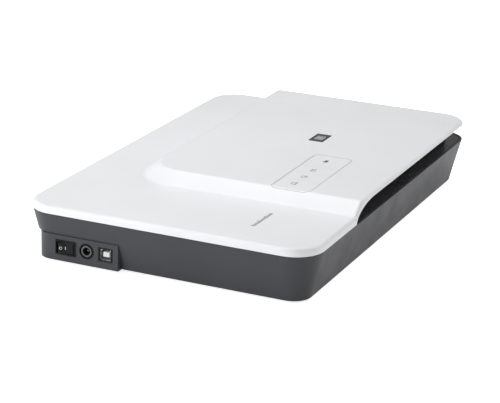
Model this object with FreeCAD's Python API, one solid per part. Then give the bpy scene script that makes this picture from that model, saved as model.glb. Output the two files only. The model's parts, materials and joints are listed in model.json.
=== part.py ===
import FreeCAD, Part
import math
import os

# Flatbed scanner with a film lamp in its lid. Millimetres, +Z up, origin on the floor under the middle.
# -Y is the side that faces the user, +Y the hinge side, the sockets are on the -X end.

V = FreeCAD.Vector

# ---- overall sizes ----
LENGTH = 455.0                 # X
DEPTH = 303.0                  # Y
HEIGHT = 70.0                  # top of the raised lid part
CORNER_R = 30.0                # plan radius of lid and base corners
HALF_X = LENGTH / 2
HALF_Y = DEPTH / 2
FIT = 0.05                     # radial play of a running fit

# ---- base shell ----
FOOT_H = 2.5
BASE_TOP = 49.5                # upper edge of the grey base walls
BASE_TAPER = 11.5              # how far the base walls lean in towards the floor
WALL = 2.5
FLOOR_TOP = FOOT_H + WALL
BOSS_TOP = 14.0                # where the base pillars meet the cover's pillars
HEAD_SEAT = 6.0                # where the case screws' heads bear
CASE_BOSSES = ((-196.0, -118.0), (-190.0, 124.0), (-70.0, 122.0), (70.0, 122.0), (204.0, 122.0))
FOOT_PLACES = ((-185.0, -110.0), (-185.0, 110.0), (185.0, -110.0), (185.0, 110.0))

# ---- socket block at the rear of the -X end ----
BLOCK_FACE_X = -223.5
BLOCK_Y0 = 48.0
BLOCK_Y1 = 139.0
BLOCK_X1 = -165.0
BLOCK_TOP = 28.5
BLOCK_R = 16.0
SWITCH_Y = 105.1
SWITCH_Z = 16.6
SWITCH_HALF = (10.6, 7.25)     # flange half sizes in Y and Z
SWITCH_BACK_X = -206.0
ROCKER_X = -219.5              # rocker pivot
ROCKER_R = 9.3
ROCKER_CREST = 4.6
ROCKER_HALF_Z = 5.6
ROCKER_TILT = 12.0
JACK_Y = 82.3
JACK_Z = 17.0
JACK_R = 7.9
USB_Y = 61.9
USB_Z = 16.7
USB_HALF = (7.8, 7.0)

# ---- circuit board and film lamp socket in the base ----
BOARD = (-219.0, -174.0, 51.5, 93.0)
BOARD_Z0 = 9.5
BOARD_T = 1.6
BOARD_SCREWS = ((-214.0, 90.0), (-178.0, 90.0), (-178.0, 55.0))
LAMP_SOCKET_X = -60.0          # rear socket for the film lamp's lead
LAMP_SOCKET_Z = 22.0

# ---- platen ----
COVER_Z0 = 46.7
COVER_TOP = 49.2
GLASS = (-102.0, 196.0, -128.0, 92.0)      # clear aperture x0, x1, y0, y1
GLASS_MARGIN = 6.0
GLASS_Z0 = 45.2
GLASS_TOP = 48.2

# ---- carriage at its home position ----
CAR_X0 = -166.0
CAR_X1 = -104.0
CAR_Y0 = -134.0
CAR_Y1 = 100.0
CAR_Z0 = 16.0
CAR_Z1 = 44.0
CAR_WALL = 2.0
SLIT_X = -118.0
OPTIC_Y = -18.0                # middle of the glass in Y
LAMP_WINDOW = (-136.0, -112.0, -126.0, 90.0)
MIRRORS = (                    # x, z, tilt in degrees, half length
    (SLIT_X, 23.0, 42.0, 108.0),
    (-109.2, 30.5, 75.0, 92.0),
    (-112.5, 39.0, 10.0, 80.0),
)

# ---- guide rod, rails and motor drive ----
ROD_X0 = -178.0
ROD_X1 = 213.0
ROD_Y = -18.0
ROD_Z = 10.6
ROD_R = 4.0
BUSH_R = 5.0
BUSH_XS = (-164.0, -120.0)
RAIL_YS = (-126.0, 92.0)
RAIL_TOP = 8.0
GEAR_X = -186.0
GEAR_Y = 8.0
MODULE = 0.6
GEAR_TEETH = 48
PINION_TEETH = 12
MOTOR_Y = GEAR_Y - MODULE * (GEAR_TEETH + PINION_TEETH) / 2
MOTOR_Z1 = 41.0
SHAFT_R = 2.0
WHEEL_TOP = 17.6
BRACKET_Z0 = 18.6
BRACKET_LEGS = ((-204.5, -27.5), (-171.5, -27.5), (-204.0, 12.5))

# ---- belt and its tensioner ----
BELT_Z0 = 7.5
BELT_Z1 = 12.5
BELT_T = 1.0
PULLEY_R = 5.175               # belt centre line radius
CLIP_Y = GEAR_Y - PULLEY_R
IDLER_X = 205.0
SPRING_X = IDLER_X - 20.0
SPRING_Y = GEAR_Y + 12.0

# ---- flat cable to the carriage ----
RIBBON_Y0 = 62.0
RIBBON_Y1 = 80.0
RIBBON_T = 0.3
RIBBON_TOP_Z = 12.9
RIBBON_BEND_X = 51.0
RIBBON_END_X = -118.0

# ---- lid ----
LID_BOTTOM = 50.0
LOW_TOP = 57.7
LID_WALL = 2.2
LID_EDGE_R = 3.2
LIP_Z = 66.5                   # underside of the raised lip
RAMP_TOP_X = -101.0
RAMP_TOP_Y = 77.0
RAMP_L = 20.0
CREST_R = 5.5
TROUGH_R = 8.0
RAMP_SHIFT = 1.2               # how far the ramps' underside is set towards the raised part
RIDGE_R = 30.0
GAP_BOTTOM_X = -116.0          # where the finger gap meets the base
GAP_SPAN = 46.0
GAP_END_Y = 96.0               # rear end of the finger gap on the right side
REAR_EDGE_Z = 51.0
LID_BOSSES = (
    (-170.0, -100.0), (-170.0, 0.0), (-170.0, 110.0),
    (0.0, 118.0), (100.0, 118.0), (212.0, 118.0),
)
BUMPERS = ((-205.0, -125.0), (-205.0, 125.0), (208.0, 136.0), (-150.0, -140.0))
BADGE = (56.0, 84.0, -44.5, -28.0)
BADGE_DEPTH = 0.6
GLAND_X = -60.0                # where the film lamp's lead would leave the lid
GLAND_Z = 53.4
GLAND_R = 1.7

# ---- underside of the lid ----
PAN_Z0 = 50.4
PAN_FLOOR = 51.9
PAN_FRONT = -133.0
PAN_RIGHT = 201.0
PAN_WALL = 1.5
PAN_PLAY = 0.6
TRAY_Z0 = 54.2
TRAY_Z1 = 55.2
LIGHT = (-50.0, 180.0, -45.0, 25.0)        # film light x0, x1, y0, y1

# ---- hinges ----
HINGE_X = 140.0
AXIS_Y = 149.3
AXIS_Z = 53.9
KNUCKLE_R = 2.2
PIN_R = 1.0
POST_Y = (131.0, 138.0)
POST_HALF = 9.0
POST_Z0 = 12.0
POST_GAP = 0.3
ARM_TOP = 53.3
LEAF_Y0 = 122.0
LEAF_Z0 = 54.1
NOTCH_HALF = 12.4              # cut in the lid's rear edge for each hinge
NOTCH_TOP = 56.4

# ---- document mat ----
MAT = (-104.5, 198.5, -130.0, 94.0)
MAT_Z0 = 49.8
FOAM_TOP = 52.4
MAT_TOP = 53.8

# ---- buttons on the raised part ----
PANEL = (-100.5, 14.0, -95.5, -55.0)
PANEL_R = 6.0
KEY_EDGES = (-100.5, -71.3, -48.0, -25.0, 14.0)
KEY_NAMES = ("button_scan", "button_copy", "button_mail", "button_file")
KEY_GAP = 0.35
KEY_TOP = 69.9                 # caps sit just below the lid's top face
KEY_BOARD_Z0 = 58.4
KEY_BOARD_TOP = 60.0
KEY_BOARD_SCREWS = ((-96.5, -98.5), (10.5, -98.5), (-96.5, -52.0), (10.5, -52.0))


# ---- basic shapes ----
def box(x0, x1, y0, y1, z0, z1):
    return Part.makeBox(x1 - x0, y1 - y0, z1 - z0, V(x0, y0, z0))


def post(x, y, z0, z1, radius):
    return Part.makeCylinder(radius, z1 - z0, V(x, y, z0))


def bar_x(x0, x1, y, z, radius):
    return Part.makeCylinder(radius, x1 - x0, V(x0, y, z), V(1, 0, 0))


def bar_y(x, y0, y1, z, radius):
    return Part.makeCylinder(radius, y1 - y0, V(x, y0, z), V(0, 1, 0))


def tube(x, y, z0, z1, outer, inner):
    return post(x, y, z0, z1, outer).cut(post(x, y, z0 - 1, z1 + 1, inner))


def polygon_prism(points, direction):
    wire = Part.makePolygon(points + [points[0]])
    return Part.Face(wire).extrude(direction)


def rounded_wire(x0, x1, y0, y1, radii, z):
    """Rectangle with its own radius at each corner, from front-left anticlockwise."""
    k = 1 - math.sqrt(0.5)
    a, b, c, d = radii
    edges = [
        Part.LineSegment(V(x0 + a, y0, z), V(x1 - b, y0, z)),
        Part.Arc(V(x1 - b, y0, z), V(x1 - b * k, y0 + b * k, z), V(x1, y0 + b, z)),
        Part.LineSegment(V(x1, y0 + b, z), V(x1, y1 - c, z)),
        Part.Arc(V(x1, y1 - c, z), V(x1 - c * k, y1 - c * k, z), V(x1 - c, y1, z)),
        Part.LineSegment(V(x1 - c, y1, z), V(x0 + d, y1, z)),
        Part.Arc(V(x0 + d, y1, z), V(x0 + d * k, y1 - d * k, z), V(x0, y1 - d, z)),
        Part.LineSegment(V(x0, y1 - d, z), V(x0, y0 + a, z)),
        Part.Arc(V(x0, y0 + a, z), V(x0 + a * k, y0 + a * k, z), V(x0 + a, y0, z)),
    ]
    return Part.Wire([edge.toShape() for edge in edges])


def rounded_prism(x0, x1, y0, y1, z0, z1, radius):
    wire = rounded_wire(x0, x1, y0, y1, (radius,) * 4, z0)
    return Part.Face(wire).extrude(V(0, 0, z1 - z0))


def casing_outline(inset, z0, z1):
    return rounded_prism(
        -HALF_X + inset, HALF_X - inset, -HALF_Y + inset, HALF_Y - inset, z0, z1, CORNER_R - inset
    )


def fuse(shapes):
    return shapes[0].multiFuse(shapes[1:]).removeSplitter() if len(shapes) > 1 else shapes[0]


def save(name, shapes):
    solids = shapes if isinstance(shapes, list) else [shapes]
    parts = [solid for shape in solids for solid in shape.Solids]
    for solid in parts:
        if not solid.isValid():
            print("not valid:", name)
    shape = parts[0] if len(parts) == 1 else Part.makeCompound(parts)
    shape.exportStep("parts/" + name + ".step")


def screw(x, y, head_z, length, head_r, head_h, shaft_r):
    """Pan head below, shaft upwards, a cross recess in the head's lower face."""
    head = post(x, y, head_z, head_z + head_h, head_r)
    shaft = post(x, y, head_z + head_h, head_z + head_h + length, shaft_r)
    slot = 0.18 * head_r
    reach = 0.7 * head_r
    recess_top = head_z + 0.5 * head_h
    cross = box(x - reach, x + reach, y - slot, y + slot, head_z, recess_top)
    cross = cross.fuse(box(x - slot, x + slot, y - reach, y + reach, head_z, recess_top))
    return head.fuse(shaft).cut(cross).removeSplitter()


# ---- base ----
def tapered_body(inset, z0, z1):
    """The base's leaning walls between two heights, all faces moved inwards by inset."""
    wires = []
    for z in (z0, z1):
        lean = BASE_TAPER * (BASE_TOP - z) / (BASE_TOP - FOOT_H) + inset
        radius = CORNER_R - lean
        half_x = HALF_X - lean
        half_y = HALF_Y - lean
        wires.append(rounded_wire(-half_x, half_x, -half_y, half_y, (radius,) * 4, z))
    return Part.makeLoft(wires, True, True)


def corner_block(inset, x1, z0, z1):
    """The upright socket block at the rear-left corner, with only that corner rounded."""
    wire = rounded_wire(
        BLOCK_FACE_X + inset, x1, BLOCK_Y0 + inset, BLOCK_Y1 - inset, (0.8, 0.8, 0.8, BLOCK_R - inset), z0
    )
    return Part.Face(wire).extrude(V(0, 0, z1 - z0))


def base_outside():
    """Leaning walls all round, cut away under the rear-left corner to make room for the block."""
    body = tapered_body(0, FOOT_H, BASE_TOP)
    body = body.cut(box(-HALF_X, BLOCK_X1, BLOCK_Y0, HALF_Y, FOOT_H - 1, BLOCK_TOP))
    return body.fuse(corner_block(0, BLOCK_X1, FOOT_H, BLOCK_TOP))


def base_inside():
    ceiling = BLOCK_TOP - WALL
    above = BLOCK_TOP + WALL
    body = tapered_body(WALL, FLOOR_TOP, BASE_TOP + 1)
    band = body.common(corner_block(WALL, BLOCK_X1 + 2, ceiling, above))
    body = body.cut(box(-HALF_X, BLOCK_X1, BLOCK_Y0 + WALL, HALF_Y, 0, above))
    body = body.cut(box(-HALF_X, BLOCK_X1 + WALL, BLOCK_Y1 - WALL, HALF_Y, 0, above))
    return body.fuse(band).fuse(corner_block(WALL, BLOCK_X1 + 2, FLOOR_TOP, ceiling))


def hinge_socket(x):
    """Upright well that guides a hinge post, open at its top."""
    half = POST_HALF + 2.3
    outer = box(x - half, x + half, POST_Y[0] - 2.3, POST_Y[1] + 1.2, FLOOR_TOP - 0.5, 44)
    well = box(
        x - POST_HALF - POST_GAP, x + POST_HALF + POST_GAP,
        POST_Y[0] - POST_GAP, POST_Y[1] + POST_GAP, POST_Z0 - 1, 45,
    )
    return outer, well


def socket_cuts():
    """Openings in the block's end wall for the switch, the power socket and the USB socket."""
    x0 = BLOCK_FACE_X - 1
    x1 = BLOCK_FACE_X + WALL + 1
    switch = box(
        x0, x1, SWITCH_Y - SWITCH_HALF[0] + 0.4, SWITCH_Y + SWITCH_HALF[0] - 0.4,
        SWITCH_Z - SWITCH_HALF[1] + 0.4, SWITCH_Z + SWITCH_HALF[1] - 0.4,
    )
    jack = bar_x(x0, x1, JACK_Y, JACK_Z, JACK_R)
    usb = box(x0, x1, USB_Y - USB_HALF[0], USB_Y + USB_HALF[0], USB_Z - USB_HALF[1], USB_Z + USB_HALF[1])
    return switch.fuse(jack).fuse(usb)


def lamp_socket_cut():
    return box(
        LAMP_SOCKET_X - 8, LAMP_SOCKET_X + 8, HALF_Y - 14, HALF_Y + 1, LAMP_SOCKET_Z - 4, LAMP_SOCKET_Z + 4
    )


def make_base_shell():
    shell = base_outside().cut(base_inside())
    posts = [post(x, y, FLOOR_TOP - 0.5, BOSS_TOP, 4.5) for x, y in CASE_BOSSES]
    posts += [post(x, y, FLOOR_TOP - 0.5, BOARD_Z0, 2.8) for x, y in BOARD_SCREWS]
    posts.append(post(GEAR_X, GEAR_Y, FLOOR_TOP - 0.5, BELT_Z0 - 1, 3.5))
    posts.append(post(SPRING_X - 1.8, SPRING_Y, FLOOR_TOP - 0.5, 11, 1.4))
    sockets = [hinge_socket(side * HINGE_X) for side in (-1, 1)]
    shell = shell.multiFuse(posts + [outer for outer, well in sockets])
    cuts = [well for outer, well in sockets]
    cuts += [post(x, y, FOOT_H - 1, HEAD_SEAT, 3.1) for x, y in CASE_BOSSES]
    cuts += [post(x, y, HEAD_SEAT - 1, BOSS_TOP + 1, 1.7) for x, y in CASE_BOSSES]
    cuts += [post(x, y, FLOOR_TOP, BOARD_Z0 + 1, 1.0) for x, y in BOARD_SCREWS]
    cuts += [socket_cuts(), lamp_socket_cut()]
    save("base_shell", shell.cut(Part.makeCompound(cuts)).removeSplitter())


def make_top_cover():
    plate = casing_outline(3.4, COVER_Z0, COVER_TOP)
    plate = plate.fuse(Part.makeCompound([post(x, y, BOSS_TOP, COVER_Z0 + 1, 4) for x, y in CASE_BOSSES]))
    x0, x1, y0, y1 = GLASS
    margin = GLASS_MARGIN + 0.2
    cuts = [
        rounded_prism(x0, x1, y0, y1, COVER_Z0 - 1, COVER_TOP + 1, 2),
        box(x0 - margin, x1 + margin, y0 - margin, y1 + margin, COVER_Z0 - 1, GLASS_TOP),
    ]
    cuts += [post(x, y, BOSS_TOP - 1, BOSS_TOP + 14, 1.5) for x, y in CASE_BOSSES]
    for side in (-1, 1):
        x = side * HINGE_X
        cuts.append(box(
            x - POST_HALF - POST_GAP, x + POST_HALF + POST_GAP,
            POST_Y[0] - POST_GAP, POST_Y[1] + POST_GAP, COVER_Z0 - 1, COVER_TOP + 1,
        ))
    save("base_top_cover", plate.cut(Part.makeCompound(cuts)).removeSplitter())


def make_platen():
    x0, x1, y0, y1 = GLASS
    margin = GLASS_MARGIN
    save("platen_glass", box(x0 - margin, x1 + margin, y0 - margin, y1 + margin, GLASS_Z0, GLASS_TOP))
    strip = box(x0 - margin + 0.5, x0 - 1, y0, y1, GLASS_Z0 - 0.4, GLASS_Z0)
    save("calibration_strip", strip)


def make_feet_and_case_screws():
    feet = []
    for x, y in FOOT_PLACES:
        foot = Part.makeCone(6, 7.5, FOOT_H, V(x, y, 0))
        feet.append(foot.cut(post(x, y, -1, 0.8, 2.5)))
    save("rubber_feet", feet)
    length = BOSS_TOP + 12 - HEAD_SEAT
    save("case_screws", [screw(x, y, HEAD_SEAT - 2, length, 2.8, 2, 1.5) for x, y in CASE_BOSSES])


# ---- lid ----
def ramp_turn(drop):
    """Slope angle of a ramp with that drop between its rounded crest and foot."""
    both = CREST_R + TROUGH_R
    straight = math.sqrt(RAMP_L ** 2 + drop ** 2 - 2 * both * drop)
    return math.atan2(drop - both, RAMP_L) + math.atan2(both, straight)


def ramp_profile(start, outward, top, bottom, floor):
    """Closed section of a straight slope with rounded crest and foot."""
    turn = ramp_turn(top - bottom)
    crest = []
    trough = []
    for angle in (0, turn / 2, turn):
        crest.append(V(CREST_R * math.sin(angle), 0, top - CREST_R + CREST_R * math.cos(angle)))
        trough.append(V(
            RAMP_L - TROUGH_R * math.sin(angle), 0, bottom + TROUGH_R - TROUGH_R * math.cos(angle)
        ))
    edges = [
        Part.Arc(crest[0], crest[1], crest[2]),
        Part.LineSegment(crest[2], trough[2]),
        Part.Arc(trough[2], trough[1], trough[0]),
        Part.LineSegment(trough[0], V(RAMP_L, 0, floor)),
        Part.LineSegment(V(RAMP_L, 0, floor), V(0, 0, floor)),
        Part.LineSegment(V(0, 0, floor), crest[0]),
    ]
    wire = Part.Wire([edge.toShape() for edge in edges])
    wire.rotate(V(0, 0, 0), V(0, 0, 1), math.degrees(math.atan2(outward.y, outward.x)))
    wire.translate(start)
    return Part.Face(wire)


def lid_block(low, high, floor, shift, reach):
    """Low plate plus the raised part with its two ramps and rounded ridge corner.
    shift moves the ramps towards the raised part, reach is how far past the outline it runs."""
    top_x = RAMP_TOP_X + shift
    top_y = RAMP_TOP_Y - shift
    ridge_x = top_x + RIDGE_R
    ridge_y = top_y - RIDGE_R
    right = HALF_X + reach
    front = -HALF_Y - reach
    pieces = [box(-HALF_X - reach, right, front, HALF_Y + reach, floor, low)]
    pieces.append(box(ridge_x, right, front, top_y, floor, high))
    pieces.append(box(top_x, right, front, ridge_y, floor, high))
    corner = post(ridge_x, ridge_y, floor, high, RIDGE_R)
    pieces.append(corner)
    side = ramp_profile(V(top_x, front, 0), V(-1, 0, 0), high, low, floor)
    pieces.append(side.extrude(V(0, ridge_y - front, 0)))
    rear = ramp_profile(V(right, top_y, 0), V(0, 1, 0), high, low, floor)
    pieces.append(rear.extrude(V(ridge_x - right, 0, 0)))
    bend = ramp_profile(V(ridge_x, ridge_y + RIDGE_R, 0), V(0, 1, 0), high, low, floor)
    pieces.append(bend.revolve(V(ridge_x, ridge_y, 0), V(0, 0, 1), 90))
    return fuse(pieces)


def lid_outside():
    block = lid_block(LOW_TOP, HEIGHT, LID_BOTTOM, 0, 5)
    outline = casing_outline(0, LID_BOTTOM - 1, HEIGHT + 1)
    return block.common(outline).removeSplitter()


def top_rim_edges(shape):
    """Edges where the upright outline meets the top surface."""
    found = []
    for edge in shape.Edges:
        faces = shape.ancestorsOfType(edge, Part.Face)
        upright = []
        for face in faces:
            u0, u1, v0, v1 = face.ParameterRange
            upright.append(abs(face.normalAt((u0 + u1) / 2, (v0 + v1) / 2).z) < 0.01)
        if sum(upright) == 1 and edge.BoundBox.ZMin > LID_BOTTOM + 1:
            found.append(edge)
    return found


def lid_cavity():
    """Space inside the lid cover."""
    block = lid_block(LOW_TOP - LID_WALL, LIP_Z, LID_BOTTOM - 1, RAMP_SHIFT, 5)
    return block.common(casing_outline(LID_WALL, LID_BOTTOM - 2, HEIGHT))


def gap_section(start, outward):
    """Quarter ellipse section of the finger gap, from the base's edge up to the underside of the lip."""
    rise = LIP_Z - LID_BOTTOM
    samples = 24
    curve = []
    for step in range(samples + 1):
        angle = math.pi / 2 * step / samples
        curve.append(V(GAP_SPAN * math.cos(angle), 0, LID_BOTTOM + rise * math.sin(angle)))
    spline = Part.BSplineCurve()
    spline.interpolate(curve)
    edges = [
        spline.toShape(),
        Part.LineSegment(curve[-1], V(0, 0, LID_BOTTOM - 1)).toShape(),
        Part.LineSegment(V(0, 0, LID_BOTTOM - 1), V(GAP_SPAN, 0, LID_BOTTOM - 1)).toShape(),
        Part.LineSegment(V(GAP_SPAN, 0, LID_BOTTOM - 1), curve[0]).toShape(),
    ]
    wire = Part.Wire(edges)
    wire.rotate(V(0, 0, 0), V(0, 0, 1), math.degrees(math.atan2(outward.y, outward.x)))
    wire.translate(start)
    return Part.Face(wire)


def finger_gap():
    """Cutter that opens the rim under the raised part along the front and the right end."""
    crown_x = GAP_BOTTOM_X + GAP_SPAN
    crown_y = GAP_END_Y - GAP_SPAN
    front = gap_section(V(crown_x, -HALF_Y - 1, 0), V(-1, 0, 0)).extrude(V(0, LID_WALL + 1.4, 0))
    side = gap_section(V(HALF_X + 1, crown_y, 0), V(0, 1, 0)).extrude(V(-LID_WALL - 1.4, 0, 0))
    ring = box(crown_x, HALF_X + 1, -HALF_Y - 1, crown_y, LID_BOTTOM - 1, LIP_Z)
    ring = ring.cut(box(crown_x - 1, HALF_X - 34, -HALF_Y + LID_WALL + 0.4, crown_y + 1, 0, HEIGHT))
    return front.fuse(side).fuse(ring)


def make_lid_cover():
    outside = lid_outside()
    cover = outside.makeFillet(LID_EDGE_R, top_rim_edges(outside))
    cover = cover.cut(lid_cavity())
    cover = cover.cut(finger_gap())
    bosses = [post(x, y, PAN_FLOOR, LOW_TOP - 1, 3.5) for x, y in LID_BOSSES]
    board_posts = [post(x, y, KEY_BOARD_TOP, LIP_Z + 1, 2.5) for x, y in KEY_BOARD_SCREWS]
    cover = cover.multiFuse(bosses + board_posts)
    cuts = [post(x, y, PAN_FLOOR - 1, LOW_TOP - LID_WALL, 1.25) for x, y in LID_BOSSES]
    cuts += [post(x, y, KEY_BOARD_TOP - 1, LIP_Z, 0.9) for x, y in KEY_BOARD_SCREWS]
    cuts.append(box(-HALF_X, HALF_X, HALF_Y - 3.5, HALF_Y + 1, LID_BOTTOM - 1, REAR_EDGE_Z))
    for side in (-1, 1):
        x0 = side * HINGE_X - NOTCH_HALF
        x1 = side * HINGE_X + NOTCH_HALF
        cuts.append(box(x0, x1, AXIS_Y - 5.2, HALF_Y + 1, LID_BOTTOM - 1, NOTCH_TOP))
    x0, x1, y0, y1 = PANEL
    cuts.append(rounded_prism(x0, x1, y0, y1, LIP_Z - 1, HEIGHT + 1, PANEL_R))
    x0, x1, y0, y1 = BADGE
    recess_z = HEIGHT - BADGE_DEPTH
    cuts.append(rounded_prism(x0 - 0.1, x1 + 0.1, y0 - 0.1, y1 + 0.1, recess_z, HEIGHT + 1, 1.2))
    cuts.append(bar_y(GLAND_X, HALF_Y - LID_WALL - 1, HALF_Y + 1, GLAND_Z, GLAND_R))
    save("lid_cover", cover.cut(Part.makeCompound(cuts)).removeSplitter())
    x0, x1, y0, y1 = BADGE
    save("badge", rounded_prism(x0, x1, y0, y1, HEIGHT - BADGE_DEPTH, HEIGHT - 0.05, 1.1))


def pan_footprint(inset, z0, z1):
    """Plan of the lid's inner frame: set back behind the finger gap at the front and the right end."""
    left = box(-HALF_X, RAMP_TOP_X - RAMP_L - inset, -HALF_Y, HALF_Y, z0, z1)
    middle = box(-HALF_X + 1, PAN_RIGHT - inset, PAN_FRONT + inset, HALF_Y, z0, z1)
    rear = box(0, HALF_X, GAP_END_Y + 3 + inset, HALF_Y, z0, z1)
    outline = casing_outline(LID_WALL + 0.2 + inset, z0 - 1, z1 + 1)
    return left.fuse(middle).fuse(rear).common(outline).removeSplitter()


def under_ramp(top, outward):
    """Distances and heights of a wall's sloping end that stays just below the ramp's underside."""
    ceiling = LOW_TOP - LID_WALL
    half_turn = math.tan(ramp_turn(LIP_Z - ceiling) / 2)
    crest = CREST_R * half_turn
    foot = RAMP_L - TROUGH_R * half_turn
    points = []
    for run, height in ((0, LIP_Z), (crest, LIP_Z), (foot, ceiling), (RAMP_L, ceiling)):
        points.append((top + outward * (run + RAMP_SHIFT), height - PAN_PLAY))
    return points


def pan_walls():
    """Upright walls of the raised part, set back behind the finger gap at the front and the right end."""
    corner = [V(PAN_RIGHT, PAN_FRONT, PAN_Z0), V(PAN_RIGHT, PAN_FRONT, LIP_Z - PAN_PLAY)]
    front = [V(x, PAN_FRONT, z) for x, z in under_ramp(RAMP_TOP_X + 2.4, -1)]
    front += [V(front[-1].x, PAN_FRONT, PAN_Z0)] + corner
    side = [V(PAN_RIGHT, y, z) for y, z in under_ramp(RAMP_TOP_Y - 2.4, 1)]
    side += [V(PAN_RIGHT, side[-1].y, PAN_Z0)] + corner
    return polygon_prism(front, V(0, PAN_WALL, 0)).fuse(polygon_prism(side, V(-PAN_WALL, 0, 0)))


def make_lid_pan():
    pan = pan_footprint(0, PAN_Z0, TRAY_Z1 - 0.3)
    pan = pan.cut(pan_footprint(PAN_WALL, PAN_FLOOR, HEIGHT))
    x0, x1, y0, y1 = MAT
    tub = box(x0 - 2, x1 + 2, PAN_FRONT, y1 + 2, PAN_Z0, TRAY_Z1)
    pan = pan.fuse(tub).fuse(pan_walls())
    front = PAN_FRONT - 1
    cuts = [
        box(x0 + 2.1, x1 - 2.1, front, y1 + 0.4, PAN_Z0 - 1, FOAM_TOP - 0.2),
        box(x0 - 0.4, x1 + 0.4, front, y1 + 0.4, FOAM_TOP - 0.3, TRAY_Z0),
        box(LIGHT[0] + 3, LIGHT[1] - 3, LIGHT[2] + 3, LIGHT[3] - 3, TRAY_Z0 - 1, TRAY_Z1 + 1),
    ]
    for side in (-1, 1):
        x0 = side * HINGE_X - NOTCH_HALF - 0.3
        x1 = side * HINGE_X + NOTCH_HALF + 0.3
        cuts.append(box(x0, x1, LEAF_Y0 - 0.5, HALF_Y, PAN_Z0 - 1, HEIGHT))
    cuts.append(bar_y(GLAND_X, HALF_Y - 6, HALF_Y, GLAND_Z, GLAND_R + 0.2))
    for x, y in LID_BOSSES:
        cuts.append(post(x, y, PAN_Z0 - 1, PAN_FLOOR + 1, 1.3))
        cuts.append(post(x, y, PAN_Z0 - 1, PAN_Z0 + 0.8, 2.6))
    save("lid_pan", pan.cut(Part.makeCompound(cuts)).removeSplitter())
    heads = []
    for x, y in LID_BOSSES:
        heads.append(screw(x, y, PAN_Z0, 4.0, 2.5, 0.75, 1.2))
    for x, y in KEY_BOARD_SCREWS:
        heads.append(screw(x, y, KEY_BOARD_Z0 - 1.2, 4.0, 2.0, 1.2, 0.85))
    save("lid_screws", heads)
    save("lid_bumpers", [post(x, y, PAN_Z0 - 0.85, PAN_Z0, 4) for x, y in BUMPERS])


def make_film_light():
    x0, x1, y0, y1 = LIGHT
    save("film_light_panel", box(x0, x1, y0, y1, TRAY_Z1 + 0.1, TRAY_Z1 + 5))
    lamp_y = y1 + 4
    save("film_lamp", bar_x(x0, x1, lamp_y, TRAY_Z1 + 2.7, 1.5))
    board = box(110, 170, -112, -84, TRAY_Z1 + 1.5, TRAY_Z1 + 3.1)
    board = board.cut(Part.makeCompound([post(x, -98, TRAY_Z1, TRAY_Z1 + 4, 1.3) for x in (113, 167)]))
    core = box(130, 152, -106, -90, TRAY_Z1 + 3.1, TRAY_Z1 + 8.6)
    save("film_inverter_board", [board, core, bar_y(160, -104, -92, TRAY_Z1 + 5.1, 2)])


# ---- sockets and electronics in the base ----
def make_power_switch():
    half_y, half_z = SWITCH_HALF
    face = BLOCK_FACE_X
    flange = box(
        face - 1.4, face, SWITCH_Y - half_y, SWITCH_Y + half_y, SWITCH_Z - half_z, SWITCH_Z + half_z
    )
    body_y = half_y - 0.5
    body_z = half_z - 0.5
    body = box(
        face, SWITCH_BACK_X, SWITCH_Y - body_y, SWITCH_Y + body_y, SWITCH_Z - body_z, SWITCH_Z + body_z
    )
    window = box(
        face - 2, ROCKER_X + 5.5, SWITCH_Y - ROCKER_R - 0.35, SWITCH_Y + ROCKER_R + 0.35,
        SWITCH_Z - ROCKER_HALF_Z - 0.35, SWITCH_Z + ROCKER_HALF_Z + 0.35,
    )
    pins = post(ROCKER_X, SWITCH_Y, SWITCH_Z - ROCKER_HALF_Z - 1, SWITCH_Z + ROCKER_HALF_Z + 1, 1.2)
    pin_holes = post(
        ROCKER_X, SWITCH_Y, SWITCH_Z - ROCKER_HALF_Z - 1.05, SWITCH_Z + ROCKER_HALF_Z + 1.05, 1.2 + FIT
    )
    frame = flange.fuse(body).cut(window).cut(pin_holes).removeSplitter()
    tabs = [box(SWITCH_BACK_X, SWITCH_BACK_X + 7, SWITCH_Y + dy - 0.4, SWITCH_Y + dy + 0.4, 14.2, 19.0)
            for dy in (-6.0, 0.0, 6.0)]
    save("switch_frame", [frame] + tabs)
    rise = ROCKER_R * math.tan(math.radians(ROCKER_TILT))
    plan = [
        V(ROCKER_X + 2.5, SWITCH_Y - 4.5, 0), V(ROCKER_X - 3.5, SWITCH_Y - ROCKER_R, 0),
        V(ROCKER_X - ROCKER_CREST - rise, SWITCH_Y - ROCKER_R, 0),
        V(ROCKER_X - ROCKER_CREST, SWITCH_Y, 0),
        V(ROCKER_X - ROCKER_CREST - rise, SWITCH_Y + ROCKER_R, 0),
        V(ROCKER_X - 3.5, SWITCH_Y + ROCKER_R, 0),
        V(ROCKER_X + 2.5, SWITCH_Y + 4.5, 0),
    ]
    rocker = polygon_prism(plan, V(0, 0, 2 * ROCKER_HALF_Z))
    rocker.translate(V(0, 0, SWITCH_Z - ROCKER_HALF_Z))
    rocker = rocker.common(post(ROCKER_X, SWITCH_Y, 0, 40, ROCKER_R))
    rocker = rocker.fuse(pins).removeSplitter()
    rocker.rotate(V(ROCKER_X, SWITCH_Y, 0), V(0, 0, 1), ROCKER_TILT)
    save("power_rocker", rocker)


def make_power_socket():
    face = BLOCK_FACE_X
    body = bar_x(face - 0.4, face + 4, JACK_Y, JACK_Z, JACK_R - 0.1)
    body = body.fuse(bar_x(face + 4, face + 15, JACK_Y, JACK_Z, 5.6))
    groove = bar_x(face - 1, face + 1.6, JACK_Y, JACK_Z, 6.9)
    bore = bar_x(face - 1, face + 10, JACK_Y, JACK_Z, 3.2)
    ring = bar_x(face - 0.2, face + 1.6, JACK_Y, JACK_Z, 5.6)
    ring = ring.cut(bar_x(face - 1, face + 2, JACK_Y, JACK_Z, 4.1))
    save("power_socket_body", body.cut(groove).cut(bore).removeSplitter())
    save("power_socket_contacts", [ring, bar_x(face + 3, face + 10, JACK_Y, JACK_Z, 1.05)])


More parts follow.
